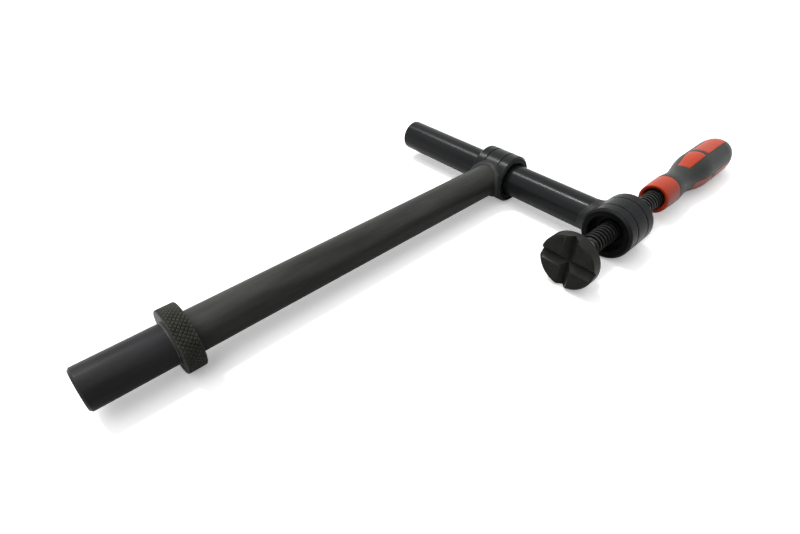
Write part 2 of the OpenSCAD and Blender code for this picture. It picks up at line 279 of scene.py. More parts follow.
class Finishes(PropertyGroup):
    """Colours"""

    black_steel: colour("Black steel", "Blackened post", (0.046, 0.047, 0.0435))
    foot_steel: colour("Foot steel", "Turned foot of the post", (0.026, 0.026, 0.0275))
    ground_steel: colour("Ground steel", "Smooth arm, ring and head", (0.0135, 0.0144, 0.0151))
    knurled_steel: colour("Knurled steel", "Stop collar", (0.04, 0.04, 0.034))
    weld_steel: colour("Weld", "Welds under the blackening", (0.02, 0.0205, 0.0205))
    pad_steel: colour("Pad", "Pressure pad", (0.012, 0.012, 0.01))
    # Near-black oiled thread; the same colour is also painted shade on the sleeves' end faces and
    # bores, in the head's recess and on the nut.
    thread_steel_and_painted_shade: colour("Thread", "Oiled thread", (0.005, 0.005, 0.0055))
    turned_steel: colour("Turned steel", "Bare turned steel", (0.2, 0.2, 0.195))
    worn_steel: colour("Worn steel", "Edges rubbed bare", (0.16, 0.16, 0.15))
    hard_red: colour("Red", "Hard plastic of the handle", (0.42, 0.04, 0.011))
    soft_black: colour("Soft black", "Soft grip", (0.03, 0.034, 0.03))
    rubber: colour("Rubber", "Friction rings", (0.006, 0.006, 0.006))
    bronze: colour("Bronze", "Ball cup", (0.26, 0.15, 0.04))
    floor: colour("Floor", "Bench under the clamp", (0.95, 0.95, 0.95))


# Modelling helpers


def revolve(outline, steps=ROUND_STEPS, closed=False, turns=1, lead=0.0):
    """Spins an outline of (radius, height) points about Z, once round or up a helix."""
    bm = bmesh.new()
    verts = [bm.verts.new((r, 0, z)) for r, z in outline]
    pairs = list(zip(verts, verts[1:])) + ([(verts[-1], verts[0])] if closed else [])
    edges = [bm.edges.new(pair) for pair in pairs]
    bmesh.ops.spin(
        bm, geom=verts + edges, axis=(0, 0, 1), angle=math.tau * turns, steps=steps * turns,
        dvec=(0, 0, lead / steps), use_merge=not lead
    )
    bmesh.ops.remove_doubles(bm, verts=bm.verts, dist=MERGE)
    bmesh.ops.recalc_face_normals(bm, faces=bm.faces)
    return bm


def guarded(outline, reach=0.0012):
    """Adds points close to both ends of every long stretch, so that rubbed edges stay narrow."""
    points = []
    for a, b in zip(map(Vector, outline), map(Vector, outline[1:] + outline[:1])):
        points.append(a)
        if (b - a).length > 3 * reach:
            step = (b - a).normalized() * reach
            points += [a + step, b - step]
    return points


def soften(bm, offset, segments=2, sharper_than=25):
    """Rounds every edge that breaks by more than an angle in degrees."""
    limit = math.radians(sharper_than)
    chosen = [e for e in bm.edges if e.is_manifold and e.calc_face_angle(0.0) > limit]
    bmesh.ops.bevel(
        bm, geom=chosen, offset=offset, affect="EDGES", segments=segments,
        profile=0.5, clamp_overlap=True, material=-1
    )


def make_piece(name, bm, matrix, materials, body, nodes, smooth=35):
    """Turns a finished shape into a piece that rides on its body and stands for its solids."""
    bmesh.ops.transform(bm, matrix=matrix, verts=bm.verts)
    mesh = bpy.data.meshes.new(name)
    bm.to_mesh(mesh)
    bm.free()
    for polygon in mesh.polygons:
        polygon.use_smooth = True
    mesh.set_sharp_from_angle(angle=math.radians(smooth))
    for material in materials:
        mesh.materials.append(material)
    piece = bpy.data.objects.new(name, mesh)
    bpy.context.scene.collection.objects.link(piece)
    piece.modifiers.new("Weighted normals", "WEIGHTED_NORMAL").keep_sharp = True
    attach(piece, body)
    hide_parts(*nodes)


def mix(a, b, share):
    """Value at a share of the way from a to b."""
    return a + (b - a) * share


# Shader helpers


def feed(tree, socket, value):
    """Gives an input a value or another node's output."""
    if isinstance(value, bpy.types.NodeSocket):
        tree.links.new(value, socket)
    else:
        socket.default_value = value


def add(tree, kind, inputs=None, **settings):
    """Adds a node with its settings and inputs."""
    made = tree.nodes.new(kind)
    for key, value in settings.items():
        setattr(made, key, value)
    for key, value in (inputs or {}).items():
        feed(tree, made.inputs[key], value)
    return made


def value_range(tree, value, low, high, to_low=0.0, to_high=1.0):
    """Maps low to high onto another range."""
    return add(tree, "ShaderNodeMapRange", {
        "Value": value, "From Min": low, "From Max": high, "To Min": to_low, "To Max": to_high
    }).outputs["Result"]


def maths(tree, operation, a, b):
    return add(tree, "ShaderNodeMath", {0: a, 1: b}, operation=operation).outputs[0]


def blend_colours(tree, share, a, b):
    made = add(tree, "ShaderNodeMix", data_type="RGBA")
    for key, value in (("Factor_Float", share), ("A_Color", a), ("B_Color", b)):
        feed(tree, next(s for s in made.inputs if s.identifier == key), value)
    return next(s for s in made.outputs if s.identifier == "Result_Color")


def shared_group(name, inputs, outputs, build):
    """A shader node group with named sockets, built once."""
    tree = bpy.data.node_groups.get(name)
    if tree is None:
        tree = bpy.data.node_groups.new(name, "ShaderNodeTree")
        tree.interface.new_socket("Vector", in_out="INPUT", socket_type="NodeSocketVector")
        for socket in inputs:
            tree.interface.new_socket(socket, in_out="INPUT", socket_type="NodeSocketFloat")
        for socket in outputs:
            tree.interface.new_socket(socket, in_out="OUTPUT", socket_type="NodeSocketFloat")
        add(tree, "NodeGroupOutput", build(tree, add(tree, "NodeGroupInput").outputs))
    return tree


def mottle(tree, given):
    """Clouds and fine grain of a blackened or moulded surface."""
    cloud = add(tree, "ShaderNodeTexNoise", {
        "Vector": given["Vector"], "Scale": given["Cloud scale"], "Detail": 5.0, "Roughness": 0.6
    })
    grain = add(tree, "ShaderNodeTexNoise", {
        "Vector": given["Vector"], "Scale": given["Grain scale"], "Detail": 3.0, "Roughness": 0.7
    })
    return {
        "Cloud": value_range(tree, cloud.outputs[0], low=0.32, high=0.68),
        "Grain": value_range(tree, grain.outputs[0], low=0.25, high=0.75),
    }


def edge_wear(tree, given):
    """Where raised edges are rubbed, broken up by noise."""
    point = add(tree, "ShaderNodeNewGeometry").outputs["Pointiness"]
    spots = add(tree, "ShaderNodeTexNoise", {
        "Vector": given["Vector"], "Scale": given["Spot scale"], "Detail": 4.0, "Roughness": 0.7
    })
    rubbed = value_range(tree, point, given["From"], given["To"])
    patchy = value_range(tree, spots.outputs[0], low=0.35, high=0.65, to_low=0.25)
    return {"Wear": maths(tree, "MULTIPLY", rubbed, patchy)}


def turned_marks(tree, given):
    """Fine rings left by the lathe, across local Z."""
    z = add(tree, "ShaderNodeSeparateXYZ", {0: given["Vector"]}).outputs["Z"]
    rings = add(tree, "ShaderNodeTexNoise", {
        "W": z, "Scale": given["Ring scale"], "Detail": 3.0, "Roughness": 0.6
    }, noise_dimensions="1D")
    return {"Rings": rings.outputs[0]}


GROUPS = {  # name: number inputs beside the vector, outputs, builder
    "Mottle": (("Cloud scale", "Grain scale"), ("Cloud", "Grain"), mottle),
    "Edge wear": (("Spot scale", "From", "To"), ("Wear",), edge_wear),
    "Turned marks": (("Ring scale",), ("Rings",), turned_marks),
}


def use_group(tree, name, inputs):
    """Adds a shared group and gives back its outputs."""
    group = shared_group(name, *GROUPS[name])
    return add(tree, "ShaderNodeGroup", inputs, node_tree=group).outputs


def start_material(name, matrix):
    """A new material with its shader, and the piece's own local coordinates."""
    material = bpy.data.materials.new(name)
    material.use_nodes = True
    tree = material.node_tree
    shader = tree.nodes["Principled BSDF"]
    spot = add(tree, "ShaderNodeTexCoord").outputs["Object"]
    local = add(tree, "ShaderNodeMapping", {
        "Vector": spot, "Location": matrix.translation, "Rotation": matrix.to_euler()
    }, vector_type="TEXTURE").outputs[0]
    return material, tree, shader, local


def stretched(tree, vector, scale):
    return add(tree, "ShaderNodeVectorMath", {0: vector, 1: scale}, operation="MULTIPLY").outputs[0]


def opaque(rgb, gain=1.0):
    return (*(c * gain for c in rgb), 1.0)


def bump(tree, shader, height, strength, distance):
    inputs = {"Height": height, "Strength": strength, "Distance": distance}
    made = add(tree, "ShaderNodeBump", inputs)
    tree.links.new(made.outputs[0], shader.inputs["Normal"])


def steel(name, matrix, rgb, roughness, *, metallic=0.0, specular=0.5, streak=0.12,
          rings=0.0, wear=(0.53, 0.6), cloud=90.0, relief=0.12):
    """Blackened or bare metal: clouds drawn out along the piece, rubbed edges and lathe rings.

    wear gives the Pointiness at which an edge begins to be rubbed and that at which it is bare.
    """
    worn = rgb if metallic else bpy.context.scene.clamp_finishes.worn_steel
    dark, light, smoother, rougher, ring_change = 0.7, 1.45, 0.05, 0.08, 0.05
    material, tree, shader, local = start_material(name, matrix)
    spots = use_group(tree, "Mottle", {
        "Vector": stretched(tree, local, (1, 1, streak)), "Cloud scale": cloud, "Grain scale": 900.0
    })
    rubbed = use_group(tree, "Edge wear", {
        "Vector": local, "Spot scale": 400.0, "From": wear[0], "To": wear[1]
    })["Wear"]
    body = blend_colours(tree, spots["Cloud"], opaque(rgb, dark), opaque(rgb, light))
    tree.links.new(blend_colours(tree, rubbed, body, opaque(worn)), shader.inputs["Base Color"])
    rough = value_range(tree, spots["Grain"], 0.0, 1.0, roughness - smoother, roughness + rougher)
    height = spots["Grain"]
    if rings:
        marks = use_group(tree, "Turned marks", {"Vector": local, "Ring scale": 2500.0})["Rings"]
        height = maths(tree, "ADD", height, maths(tree, "MULTIPLY", marks, rings))
        change = value_range(tree, marks, 0.3, 0.7, -ring_change, ring_change)
        rough = maths(tree, "ADD", rough, change)
    tree.links.new(rough, shader.inputs["Roughness"])
    shader.inputs["Metallic"].default_value = metallic
    shader.inputs["Specular IOR Level"].default_value = specular
    bump(tree, shader, height, relief, distance=0.0001)
    return material


def moulded(name, matrix, rgb, roughness, grain_bump, specular=0.5):
    """Moulded plastic or rubber with a faint skin."""
    dark, light, spread = 0.9, 1.1, 0.06
    material, tree, shader, local = start_material(name, matrix)
    spots = use_group(tree, "Mottle", {"Vector": local, "Cloud scale": 60.0, "Grain scale": 1800.0})
    body = blend_colours(tree, spots["Cloud"], opaque(rgb, dark), opaque(rgb, light))
    tree.links.new(body, shader.inputs["Base Color"])
    rough = value_range(tree, spots["Grain"], 0.0, 1.0, roughness - spread, roughness + spread)
    tree.links.new(rough, shader.inputs["Roughness"])
    shader.inputs["Specular IOR Level"].default_value = specular
    bump(tree, shader, spots["Grain"], grain_bump, distance=0.0002)
    return material


# Pieces


class CLAMP_OT_bars(Operator):
    """Make the post with its turned foot, and the arm"""

    bl_idname = "clamp.bars"
    bl_label = "Post and arm"

    def execute(self, context):
        bars, paint = context.scene.clamp_bars, context.scene.clamp_finishes
        r, foot, c = bars.radius, bars.foot_radius, bars.chamfer
        end, shoulder = -bars.post_length, bars.foot_length - bars.post_length
        bm = revolve(guarded([
            (0, end), (foot - c, end), (foot, end + c), (foot, shoulder),
            (r, shoulder + r - foot), (r, -bars.buried), (0, -bars.buried),
        ])[:-2])
        soften(bm, bars.edge)
        for face in bm.faces:
            face.material_index = int(face.calc_center_median().z < shoulder)
        bar = steel(
            "Blackened post", POST_PLACE, paint.black_steel, 0.38, specular=0.06, rings=0.35
        )
        turned = steel(
            "Turned foot", POST_PLACE, paint.foot_steel, 0.34, specular=0.07, rings=0.5
        )
        make_piece("post", bm, POST_PLACE, [bar, turned], "post", ["post_bar"])

        near, tail = bars.buried - bars.arm_reach, bars.arm_tail
        bm = revolve(guarded([(0, near), (r, near), (r, tail - c), (r - c, tail), (0, tail)])[:-2])
        soften(bm, bars.edge)
        bar = steel(
            "Blackened arm", ARM_PLACE, paint.ground_steel, 0.2, specular=0.12, relief=0.006
        )
        make_piece("arm", bm, ARM_PLACE, [bar], "arm", ["arm_bar"])
        return {"FINISHED"}


def sleeve_outline(s, radius, rear, front, middle, groove_at, inside):
    """Outer side of a sleeve with chamfers and two grooves, closed by the points of its inside."""
    c, w, deep = s.chamfer, s.groove_width / 2, radius - s.groove_depth
    points = [(radius - c, rear), (radius, rear + c)]
    for groove in (middle - groove_at, middle + groove_at):
        low, high = groove - w, groove + w
        points += [(radius, low), (deep, low), (deep, high), (radius, high)]
    return guarded(points + [(radius, front - c), (radius - c, front)] + inside)


class CLAMP_OT_sleeves(Operator):
    """Make the slide ring, the head and the nut in the head"""

    bl_idname = "clamp.sleeves"
    bl_label = "Slide ring, head and nut"

    def paint_end_shade(self, bm, radius):
        """Gives a sleeve's end faces and bore its second, near-black material, which is painted
        shade.
        """
        for face in bm.faces:
            face.material_index = int(face.calc_center_median().xy.length < radius)

    def execute(self, context):
        s, paint = context.scene.clamp_sleeves, context.scene.clamp_finishes
        lip = context.scene.clamp_bars.chamfer
        half, cord, bore = s.ring_length / 2, s.cord_width / 2, s.ring_bore
        bm = revolve(sleeve_outline(s, s.ring_radius, -half, half, 0.0, s.ring_groove_at, [
            (bore + lip, half), (bore, half - lip), (bore, cord), (s.cord_radius, cord),
            (s.cord_radius, -cord), (bore, -cord), (bore, lip - half), (bore + lip, -half),
        ]), closed=True)
        soften(bm, s.edge)
        ring = steel(
            "Blackened ring", ARM_PLACE, paint.ground_steel, 0.2,
            specular=0.14, rings=0.1, relief=0.01
        )
        # Painted shade: the ring's end faces and bore get this near-black material, as if in shadow
        # between ring and arm.
        ring_end_shade = steel(
            "Painted shade on ring ends and bore", ARM_PLACE, paint.thread_steel_and_painted_shade, 0.4,
            specular=0.05, rings=0.5, wear=(0.6, 0.75)
        )
        self.paint_end_shade(bm, s.ring_radius - s.chamfer)
        make_piece("ring", bm, ARM_PLACE, [ring, ring_end_shade], "post", ["slide_ring"])

        back, front = s.head_shift - s.head_length / 2, s.head_shift + s.head_length / 2
        face = back + s.recess_depth
        seat = face + s.nut_flange
        bm = revolve(sleeve_outline(s, s.head_radius, back, front, s.head_shift, s.head_groove_at, [
            (s.nut_radius, front), (s.nut_radius, seat),
            (s.recess_radius, seat), (s.recess_radius, back),
        ]), closed=True)
        soften(bm, s.edge)
        head = steel(
            "Blackened head", SCREW_PLACE, paint.ground_steel, 0.24,
            specular=0.06, rings=0.1, relief=0.03
        )
        # Painted shade: the head's end faces, its recess and the nut get this near-black material,
        # as if in shadow.
        nut = steel(
            "Painted shade on head ends, recess and nut", SCREW_PLACE, paint.thread_steel_and_painted_shade, 0.4,
            specular=0.05, rings=0.5, wear=(0.6, 0.75)
        )
        self.paint_end_shade(bm, s.head_radius - s.chamfer)
        make_piece("head", bm, SCREW_PLACE, [head, nut], "arm", ["spindle_head"])

        bm = revolve([
            (s.nut_bore + lip, face), (s.recess_radius, face), (s.recess_radius, seat),
            (s.nut_radius, seat), (s.nut_radius, front), (s.nut_bore + lip, front),
            (s.nut_bore, front - lip), (s.nut_bore, face + lip),
        ], closed=True)
        make_piece("nut", bm, SCREW_PLACE, [nut], "arm", ["spindle_nut"])
        return {"FINISHED"}


class CLAMP_OT_collar(Operator):
    """Make the stop collar with its diamond knurl"""

    bl_idname = "clamp.collar"
    bl_label = "Stop collar"

    def execute(self, context):
        s, paint = context.scene.clamp_collar, context.scene.clamp_finishes
        half, cord, c = s.width / 2, s.cord_width / 2, s.chamfer
        low, rise = c - half, (s.width - 2 * c) / s.knurl_rows
        valley = s.radius - s.knurl_depth
        band = [(valley, low + rise * row) for row in range(s.knurl_rows + 1)]
        bm = revolve([(s.radius - c, -half)] + band + [
            (s.radius - c, half), (s.bore, half), (s.bore, cord), (s.cord_radius, cord),
            (s.cord_radius, -cord), (s.bore, -cord), (s.bore, -half),
        ], steps=2 * s.knurl_count, closed=True)
        turn = math.pi / s.knurl_count

        def spot(vert):
            """Column and row of a point, added: odd ones are the diamonds' tops."""
            return round(math.atan2(vert.co.y, vert.co.x) / turn) + round((vert.co.z - low) / rise)

        def knurled(vert):
            return abs(vert.co.xy.length - valley) < MERGE * 10 and abs(vert.co.z) < half - c / 2

        faces = [f for f in bm.faces if all(map(knurled, f.verts))]
        points = set()
        for face in faces:
            ends = [v for v in face.verts if spot(v) % 2 == 0]
            points.update(v for v in face.verts if spot(v) % 2)
            bmesh.utils.face_split(face, *ends)
        inner = [v for v in points if abs(v.co.z) < half - c - rise / 2]
        for vert in points:
            vert.co.xy *= 1 + s.knurl_depth / (1 - s.knurl_flat / 100) / valley
        bmesh.ops.bevel(
            bm, geom=inner, offset=s.knurl_flat, offset_type="PERCENT", affect="VERTICES",
            segments=1, profile=0.5, clamp_overlap=True, material=-1
        )
        for vert in bm.verts:
            radius = vert.co.xy.length
            if radius > s.radius:
                vert.co.xy *= s.radius / radius
        collar = steel(
            "Knurled collar", COLLAR_PLACE, paint.knurled_steel, 0.45,
            specular=0.1, streak=1.0, wear=(0.57, 0.73)
        )
        make_piece(
            "collar", bm, COLLAR_PLACE, [collar], "collar", ["stop_collar"],
            smooth=15
        )
        return {"FINISHED"}


class CLAMP_OT_welds(Operator):
    """Make the rippled bead on the ring and the ground flare on the head"""

    bl_idname = "clamp.welds"
    bl_label = "Welds"

    def execute(self, context):
        scene = context.scene
        bars, sleeves = scene.clamp_bars, scene.clamp_sleeves
        s, paint = scene.clamp_welds, scene.clamp_finishes
        sides = 16
        bm = revolve([
            (bars.radius + s.bead * math.cos(a), s.bead * math.sin(a))
            for a in (math.tau * step / sides for step in range(sides))
        ], steps=FINE_STEPS, closed=True)
        tilt, wave_share, lump_share, lumps_per_metre = 2.2, 0.55, 1.5, 210
        for vert in bm.verts:
            angle = math.atan2(vert.co.y, vert.co.x)
            corner = Vector((math.cos(angle), math.sin(angle), 0)) * bars.radius
            out = vert.co - corner
            wave = wave_share * math.sin(s.ripple_count * angle + tilt * out.x / s.bead)
            lump = lump_share * noise.noise(vert.co * lumps_per_metre)
            vert.co = corner + out * (1 + s.ripple * (wave + lump) / s.bead)
            vert.co.z -= math.sqrt(max(0.0, sleeves.ring_radius ** 2 - vert.co.x ** 2))
        bead = steel(
            "Weld bead", POST_PLACE, paint.weld_steel, 0.4, specular=0.16, streak=1.0, cloud=260.0
        )
        make_piece(
            "post_bead", bm, POST_PLACE, [bead], "post", ["post_weld"], smooth=60
        )

        steps, lump_share, lumps_per_metre, sink = 12, 0.4, 220, 0.00005
        inside = bars.radius - s.flare_height
        hollow = [
            (bars.radius + s.flare_height * (1 - math.sin(a)), s.flare_length * (1 - math.cos(a)))
            for a in (math.pi / 2 * step / steps for step in range(steps + 1))
        ]
        bm = revolve([
            (inside, -s.flare_height), (bars.radius + s.flare_height, -s.flare_height),
            *hollow, (inside, s.flare_length),
        ], closed=True)
        for vert in bm.verts:
            height = math.sqrt(max(0.0, sleeves.head_radius ** 2 - vert.co.y ** 2))
            vert.co.z += height - bars.arm_reach
            over = max(0.0, vert.co.xy.length - bars.radius)
            lump = lump_share * over * noise.noise(vert.co * lumps_per_metre)
            vert.co.xy *= 1 + (lump - sink) / bars.radius
        flare = steel(
            "Ground flare", ARM_PLACE, paint.weld_steel, 0.42,
            specular=0.16, streak=1.0, cloud=260.0
        )
        make_piece(
            "head_flare", bm, ARM_PLACE, [flare], "arm", ["head_weld"], smooth=60
        )
        return {"FINISHED"}


class CLAMP_OT_screw(Operator):
    """Make the screw with its helical thread, journal, neck and ball"""

    bl_idname = "clamp.screw"
    bl_label = "Screw"

    def execute(self, context):
        s, paint = context.scene.clamp_screw, context.scene.clamp_finishes
        turns = math.ceil((s.thread_to - s.thread_from) / s.lead) + 2
        low = s.thread_from - s.lead
        rise = low + s.lead - s.crest - 2 * s.flank
        bm = revolve([
            (s.minor, low), (s.minor, rise), (s.major, rise + s.flank),
            (s.major, rise + s.flank + s.crest), (s.minor, low + s.lead),
        ], steps=THREAD_STEPS, turns=turns, lead=s.lead)
        for height, keep in ((s.thread_from, 1), (s.thread_to, -1)):
            bmesh.ops.bisect_plane(
                bm, geom=bm.verts[:] + bm.edges[:] + bm.faces[:], dist=MERGE / 10,
                plane_co=(0, 0, height), plane_no=(0, 0, keep), clear_inner=True
            )
        bmesh.ops.holes_fill(bm, edges=[e for e in bm.edges if e.is_boundary])
        lead_in = s.major - s.journal
        for vert in bm.verts:
            most = s.journal + max(0.0, vert.co.z - s.thread_from)
            if vert.co.z < s.thread_from + lead_in and vert.co.xy.length > most:
                vert.co.xy *= most / vert.co.xy.length
        bmesh.ops.recalc_face_normals(bm, faces=bm.faces)
        threads = len(bm.faces)

        ball_at = (BALL_CENTRE - SCREW_START).dot(SCREW_AXIS.normalized())
        first = math.asin(s.neck / s.ball)
        arc_steps = 24
        arc = [mix(math.pi, first, step / arc_steps) for step in range(arc_steps + 1)]
        start, stop = s.thread_from - s.journal_length, s.thread_from + MERGE * 100
        nose = revolve([
            (s.ball * math.sin(a), ball_at + s.ball * math.cos(a)) for a in arc
        ] + [
            (s.neck, start), (s.journal, start), (s.journal, stop), (0, stop),
        ], steps=SLIM_STEPS)
        soften(nose, s.edge, sharper_than=40)
        shank = revolve([
            (0, s.thread_to), (s.shank, s.thread_to), (s.shank, s.thread_to + s.shank_length),
            (0, s.thread_to + s.shank_length),
        ], steps=SLIM_STEPS)
        for plain in (nose, shank):
            part = bpy.data.meshes.new("plain")
            plain.to_mesh(part)
            plain.free()
            bm.from_mesh(part)
            bpy.data.meshes.remove(part)
        bm.faces.ensure_lookup_table()
        for face in bm.faces[threads:]:
            face.material_index = 1
        thread = steel(
            "Oiled thread", SCREW_PLACE, paint.thread_steel_and_painted_shade, 0.3,
            specular=0.08, streak=1.0, wear=(0.54, 0.64)
        )
        turned = steel(
            "Turned journal", SCREW_PLACE, paint.turned_steel, 0.45,
            metallic=0.9, streak=1.0, rings=0.8
        )
        make_piece("screw", bm, SCREW_PLACE, [thread, turned], "screw", ["spindle"])
        return {"FINISHED"}


class CLAMP_OT_pad(Operator):
    """Make the pressure pad with its crossed V grooves"""

    bl_idname = "clamp.pad"
    bl_label = "Pressure pad"

    def execute(self, context):
        s, paint = context.scene.clamp_pad, context.scene.clamp_finishes
        r, c, face = s.radius, s.chamfer, -s.face_at
        rear = face + s.thickness
        widest, arc_steps = math.acos(s.mouth / s.socket), 20
        arc = [mix(widest, math.pi, step / arc_steps) for step in range(arc_steps + 1)]
        bm = revolve([
            (0, face), (r - c, face), (r, face + c), (r, rear - c), (r - c, rear),
            (s.boss_foot, rear), (s.boss, s.mouth),
        ] + [(s.socket * math.sin(a), s.socket * math.cos(a)) for a in arc])
        cuts = [(across, at) for across in ((1, 0), (0, 1)) for at in (-s.vee, 0, s.vee)]
        cuts += [((1, 1), 0), ((1, -1), 0)]
        for (x, y), at in cuts:
            front = [
                f for f in bm.faces
                if f.calc_center_median().z < rear - c and all(v.co.z < rear for v in f.verts)
            ]
            edges = {e for f in front for e in f.edges}
            verts = {v for f in front for v in f.verts}
            bmesh.ops.bisect_plane(
                bm, geom=list(verts) + list(edges) + front, dist=MERGE,
                plane_co=(x * at, y * at, 0), plane_no=(x, y, 0)
            )
        for vert in bm.verts:
            if vert.co.z < face + s.vee + MERGE:
                depth = s.vee - min(abs(vert.co.x), abs(vert.co.y))
                vert.co.z = max(vert.co.z, face + depth)
        bmesh.ops.recalc_face_normals(bm, faces=bm.faces)
        flat = math.radians(0.4)
        split = [e for e in bm.edges if any(v.co.z < rear - MERGE for v in e.verts)]
        bmesh.ops.dissolve_limit(
            bm, angle_limit=flat, verts=bm.verts, edges=split, use_dissolve_boundaries=False
        )
        soften(bm, s.edge)
        # Inset rims keep the rubbed edges narrow; these light rubbed groove edges are partly real
        # wear and partly a painted highlight along the groove edges.
        lands = [f for f in bm.faces if f.calc_area() > s.land]
        bmesh.ops.inset_individual(bm, faces=lands, thickness=s.rub_and_highlight, use_even_offset=True)
        pad = steel(
            "Blackened pad", PAD_PLACE, paint.pad_steel, 0.4, specular=0.1,
            streak=1.0, cloud=140.0, wear=(0.53, 0.62)
        )
        make_piece("pad", bm, PAD_PLACE, [pad], "pad", ["pressure_pad"])
        return {"FINISHED"}


def ease(share):
    """Runs from 0 to 1 with a level start and end."""
    return (1 - math.cos(math.pi * share)) / 2


def grip_radius(s, z):
    """Radius of the handle at a distance from its front."""
    dome_at, nose_power = s.length - s.dome, 0.25
    if z < s.ferrule_length:
        swell = math.sin(math.pi / 2 * z / s.ferrule_length) ** nose_power
        return mix(s.front, s.ferrule, swell)
    if z < s.waist_at:
        share = (z - s.ferrule_length) / (s.waist_at - s.ferrule_length)
        return mix(s.ferrule, s.waist, ease(share))
    if z < s.belly_at:
        return mix(s.waist, s.belly, ease((z - s.waist_at) / (s.belly_at - s.waist_at)))
    if z < dome_at:
        return s.belly
    return s.belly * math.sqrt(max(0.0, 1 - ((z - dome_at) / s.dome) ** 2))


def panels(s):
    """Middle angle, middle height and length of every hard panel."""
    rear_at = s.panel_at + s.front_panel + s.panel_gap
    rows = ((s.panel_at, s.front_panel), (rear_at, s.rear_panel))
    return [
        (s.panel_turn + math.tau * turn / s.panel_count, at + span / 2, span)
        for turn in range(s.panel_count) for at, span in rows
    ]


def outside_panel(s, angle, z, panel):
    """Distance over the surface from a point to a panel's rounded outline, below zero inside it."""
    middle, centre, span = panel
    turn = abs((angle - middle + math.pi) % math.tau - math.pi)
    across = (turn - s.panel_angle / 2) * grip_radius(s, z) + s.panel_corner
    along = abs(z - centre) - span / 2 + s.panel_corner
    corner = math.hypot(max(across, 0.0), max(along, 0.0))
    return corner + min(max(across, along), 0.0) - s.panel_corner


class CLAMP_OT_handle(Operator):
    """Make the handle's hard core with its panels, and the soft grip round it"""

    bl_idname = "clamp.handle"
    bl_label = "Handle"

    def panel(self, bm, s, panel):
        """One hard panel, rounded at its rim, seated in the core."""
        middle, centre, span = panel
        columns, rows = 20, 28
        made = bmesh.ops.create_grid(bm, x_segments=columns, y_segments=rows, size=1.0)
        top = list({f for v in made["verts"] for f in v.link_faces})
        r_mid = grip_radius(s, centre)
        half_x = s.panel_angle / 2 * r_mid - s.window_gap
        half_z = span / 2 - s.window_gap
        c = s.panel_corner
        for vert in made["verts"]:
            x = half_x * math.sin(math.pi / 2 * vert.co.x)
            z = half_z * math.sin(math.pi / 2 * vert.co.y)
            over_x, over_z = abs(x) - half_x + c, abs(z) - half_z + c
            if over_x > 0 and over_z > 0:
                x = math.copysign(half_x - c + over_x * math.sqrt(1 - over_z ** 2 / c ** 2 / 2), x)
                z = math.copysign(half_z - c + over_z * math.sqrt(1 - over_x ** 2 / c ** 2 / 2), z)
            over_x, over_z = abs(x) - half_x + c, abs(z) - half_z + c
            rim = c - math.hypot(max(over_x, 0.0), max(over_z, 0.0)) - min(max(over_x, over_z), 0.0)
            short = max(0.0, 1 - rim / s.panel_edge)
            drop = s.panel_edge * (1 - math.sqrt(max(0.0, 1 - short ** 2)))
            at = centre + z
            radius = grip_radius(s, at) + s.panel_proud - drop
            angle = middle + x / r_mid
            vert.co = radius * math.cos(angle), radius * math.sin(angle), at
        sunk = bmesh.ops.extrude_face_region(bm, geom=top, use_keep_orig=True)["geom"]
        for vert in (g for g in sunk if isinstance(g, bmesh.types.BMVert)):
            vert.co.xy *= (s.core - s.panel_seat) / vert.co.xy.length

    def execute(self, context):
        s, paint = context.scene.clamp_handle, context.scene.clamp_finishes
        hub = context.scene.clamp_screw
        matrix = SCREW_PLACE @ Matrix.Translation((0, 0, s.start))
        steps = 24
        nose = [s.ferrule_length * (step / steps) ** 3 for step in range(steps + 1)]
        core_end, shank_end = s.length - s.cap, s.hole_depth + hub.shank_length
        bm = revolve([(grip_radius(s, z), z) for z in nose] + [
            (s.core, s.ferrule_length), (s.core, core_end), (0, core_end), (0, shank_end),
            (hub.shank, shank_end), (hub.shank, s.hole_depth), (s.hole, s.hole_depth),
            (s.hole, s.dish), (s.front - s.lip, 0),
        ], closed=True)
        soften(bm, s.edge, segments=4, sharper_than=30)
        for panel in panels(s):
            self.panel(bm, s, panel)
        bmesh.ops.recalc_face_normals(bm, faces=bm.faces)
        red = moulded("Hard red", matrix, paint.hard_red, 0.34, grain_bump=0.05, specular=0.18)
        make_piece("handle_red", bm, matrix, [red], "screw", ["handle_core"], smooth=50)

        rows, bore = 190, s.core + s.skin_gap
        skin = [mix(s.ferrule_length, s.length, step / rows) for step in range(rows + 1)]
        bm = revolve([(grip_radius(s, z), z) for z in skin] + [
            (0, core_end + s.skin_gap), (bore, core_end + s.skin_gap), (bore, s.ferrule_length),
        ], steps=FINE_STEPS, closed=True)
        windows = panels(s)
        for vert in bm.verts:
            radius = vert.co.xy.length
            if radius < bore + s.skin_gap:
                continue
            angle = math.atan2(vert.co.y, vert.co.x)
            inside = -min(outside_panel(s, angle, vert.co.z, window) for window in windows)
            if inside > 0:
                deep = s.window_depth * min(1.0, inside / s.window_slope)
                vert.co.xy *= (radius - deep) / radius
        bmesh.ops.recalc_face_normals(bm, faces=bm.faces)
        grip = moulded("Soft black", matrix, paint.soft_black, 0.4, grain_bump=0.2, specular=0.12)
        make_piece(
            "handle_grip_skin", bm, matrix, [grip], "screw", ["handle_grip"], smooth=60
        )
        return {"FINISHED"}


class CLAMP_OT_inner(Operator):
    """Finish the pieces that stay as packed: rubber rings, ball cup and retaining ring"""

    bl_idname = "clamp.inner"
    bl_label = "Inner pieces"

    def execute(self, context):
        paint = context.scene.clamp_finishes
        rubber = moulded("Ring rubber", POST_PLACE, paint.rubber, 0.5, grain_bump=0.15)
        bronze = steel(
            "Bronze cup", PAD_PLACE, paint.bronze, 0.35, metallic=1.0, streak=1.0, rings=0.6
        )
        turned = steel(
            "Turned ring", PAD_PLACE, paint.turned_steel, 0.36, metallic=0.9, streak=1.0, rings=0.6
        )
        finishes = {
            "collar_o_ring": rubber, "arm_o_ring": rubber,
            "ball_cup": bronze, "retaining_ring": turned,
        }
        for name, material in finishes.items():
            node = frame["nodes"][name]
            node.data.materials.clear()
            node.data.materials.append(material)
        return {"FINISHED"}


